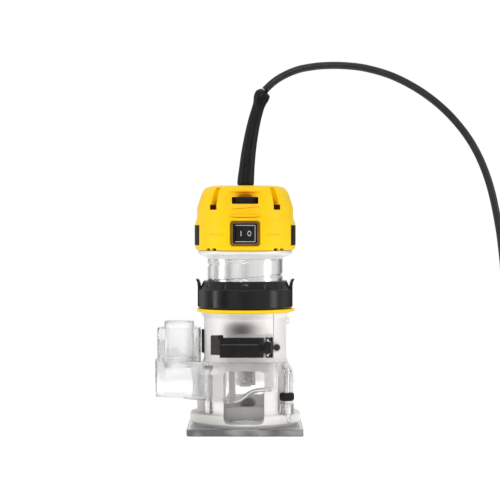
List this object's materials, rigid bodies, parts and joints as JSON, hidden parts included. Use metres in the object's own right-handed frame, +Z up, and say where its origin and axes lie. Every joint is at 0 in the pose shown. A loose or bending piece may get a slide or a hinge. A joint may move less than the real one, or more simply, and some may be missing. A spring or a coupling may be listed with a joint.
{
  "type": "trim router",
  "caption": "Compact trim router: a yellow-capped motor in a clamped round base on a clear square plate, with a depth ring, a clear dust adaptor and a lead coiled beside it.",
  "frame": {"origin": "on the surface the router stands on, at the middle of the box of the router without its lead: the router's own axis stands 15.6 mm to the right of it", "axes": "+Z up along the motor's axis, -Y the front with the clamp lever and the switch, +X to the right, away from the dust outlet"},
  "size_m": [0.4548, 0.1626, 0.3425],
  "materials": {
    "cast_aluminium": "satin die-cast, bead-blasted",
    "turned_aluminium": "turned and polished",
    "clear_polycarbonate": "moulded clear, gloss",
    "smoked_plate": "clear acrylic plate with a grey tint",
    "yellow_plastic": "fine moulded texture",
    "black_plastic": "satin moulded",
    "black_rubber": "matt rubber",
    "black_label": "printed film, plain black",
    "bright_steel": "zinc-plated",
    "black_steel": "black oxide",
    "copper": "enamelled copper",
    "lamination_steel": "stacked laminations",
    "carbon": "sintered carbon",
    "circuit_board": "potted board"
  },
  "bodies": {
    "base": {"base_casting": "cast_aluminium", "sub_base": "smoked_plate", "sub_base_screw_1": "bright_steel", "sub_base_screw_2": "bright_steel", "sub_base_screw_3": "bright_steel", "sub_base_screw_4": "bright_steel", "dust_adaptor": "clear_polycarbonate", "hose_spout": "clear_polycarbonate", "adaptor_stud": "bright_steel", "adaptor_left_screw": "black_steel", "adaptor_clip": "black_rubber", "clamp_bolt": "bright_steel", "clamp_adjusting_screw": "black_steel", "lever_bracket": "black_steel", "lever_pin": "bright_steel", "cord_coil": "black_rubber", "plug": "black_rubber", "plug_pin_left": "bright_steel", "plug_pin_right": "bright_steel"},
    "motor": {"motor_housing": "turned_aluminium", "lower_bearing": "bright_steel", "air_baffle": "black_plastic", "stator": "lamination_steel", "field_windings": "copper", "upper_bearing": "bright_steel", "brush_bridge": "black_plastic", "brush_holder_left": "bright_steel", "brush_holder_right": "bright_steel", "carbon_brush_left": "carbon", "carbon_brush_right": "carbon", "speed_module": "circuit_board", "cord_clamp": "black_plastic", "cord_boot": "black_rubber", "cord_tube": "black_rubber", "motor_cap": "yellow_plastic", "side_panel_left": "black_label", "side_panel_right": "black_label", "cap_screw_1": "bright_steel", "cap_screw_2": "bright_steel", "cap_screw_3": "bright_steel", "cap_screw_4": "bright_steel", "switch_body": "black_plastic"},
    "depth_ring": {"adjusting_ring": "black_plastic", "tab_pin_left": "bright_steel", "tab_pin_right": "bright_steel"},
    "left_tab": {"release_tab_left": "black_plastic"},
    "right_tab": {"release_tab_right": "black_plastic"},
    "zero_ring": {"scale_ring": "yellow_plastic"},
    "spindle": {"spindle_shaft": "bright_steel", "armature_core": "lamination_steel", "armature_winding": "copper", "commutator": "copper", "fan": "black_plastic", "collet": "bright_steel"},
    "collet_nut": {"collet_nut": "bright_steel"},
    "lever": {"clamp_lever": "black_plastic"},
    "rocker": {"rocker_switch": "black_plastic"},
    "dial": {"speed_dial": "black_plastic"},
    "lock_button": {"spindle_lock_button": "black_plastic"},
    "knob": {"thumb_knob": "black_plastic"}
  },
  "joints": [
    {"name": "motor_slide", "type": "slide", "parent": "base", "child": "motor", "axis": [0, 0, 1], "range_m": [-0.018, 0.02]},
    {"name": "depth_ring_turn", "type": "hinge", "parent": "base", "child": "depth_ring", "pos_m": [0.0156, 0, 0.126], "axis": [0, 0, 1], "range_deg": [-451, 406]},
    {"name": "left_tab_squeeze", "type": "hinge", "parent": "depth_ring", "child": "left_tab", "pos_m": [-0.026, 0, 0.118], "axis": [0, 1, 0], "range_deg": [0, 6], "stiffness_Nm_per_rad": 0.4, "springref_deg": -3.44},
    {"name": "right_tab_squeeze", "type": "hinge", "parent": "depth_ring", "child": "right_tab", "pos_m": [0.0572, 0, 0.118], "axis": [0, -1, 0], "range_deg": [0, 6], "stiffness_Nm_per_rad": 0.4, "springref_deg": -3.44},
    {"name": "zero_ring_turn", "type": "hinge", "parent": "base", "child": "zero_ring", "pos_m": [0.0156, 0, 0.112], "axis": [0, 0, 1], "continuous": true},
    {"name": "spindle_spin", "type": "hinge", "parent": "motor", "child": "spindle", "pos_m": [0.0156, 0, 0.06], "axis": [0, 0, 1], "continuous": true},
    {"name": "collet_nut_turn", "type": "hinge", "parent": "spindle", "child": "collet_nut", "pos_m": [0.0156, 0, 0.05], "axis": [0, 0, 1], "range_deg": [0, 540]},
    {"name": "clamp_lever_swing", "type": "hinge", "parent": "base", "child": "lever", "pos_m": [0.0376, -0.0468, 0.08], "axis": [0, 0, 1], "range_deg": [0, 110]},
    {"name": "switch_rock", "type": "hinge", "parent": "motor", "child": "rocker", "pos_m": [0.0156, -0.0396, 0.183], "axis": [0, 0, 1], "range_deg": [0, 14]},
    {"name": "speed_dial_turn", "type": "hinge", "parent": "motor", "child": "dial", "pos_m": [0.0156, -0.0273, 0.213], "axis": [0, 0, 1], "range_deg": [-135, 135]},
    {"name": "lock_button_press", "type": "slide", "parent": "motor", "child": "lock_button", "axis": [0, 1, 0], "range_m": [0, 0.004], "stiffness_N_per_m": 400, "springref_m": -0.0015},
    {"name": "thumb_knob_turn", "type": "hinge", "parent": "base", "child": "knob", "pos_m": [0.0538, -0.031, 0.0338], "axis": [0, 0, 1], "range_deg": [0, 720]}
  ],
  "couplings": [
    {"joint": "depth_ring_turn", "follows": "motor_slide", "rad_per_m": -392.7}
  ]
}
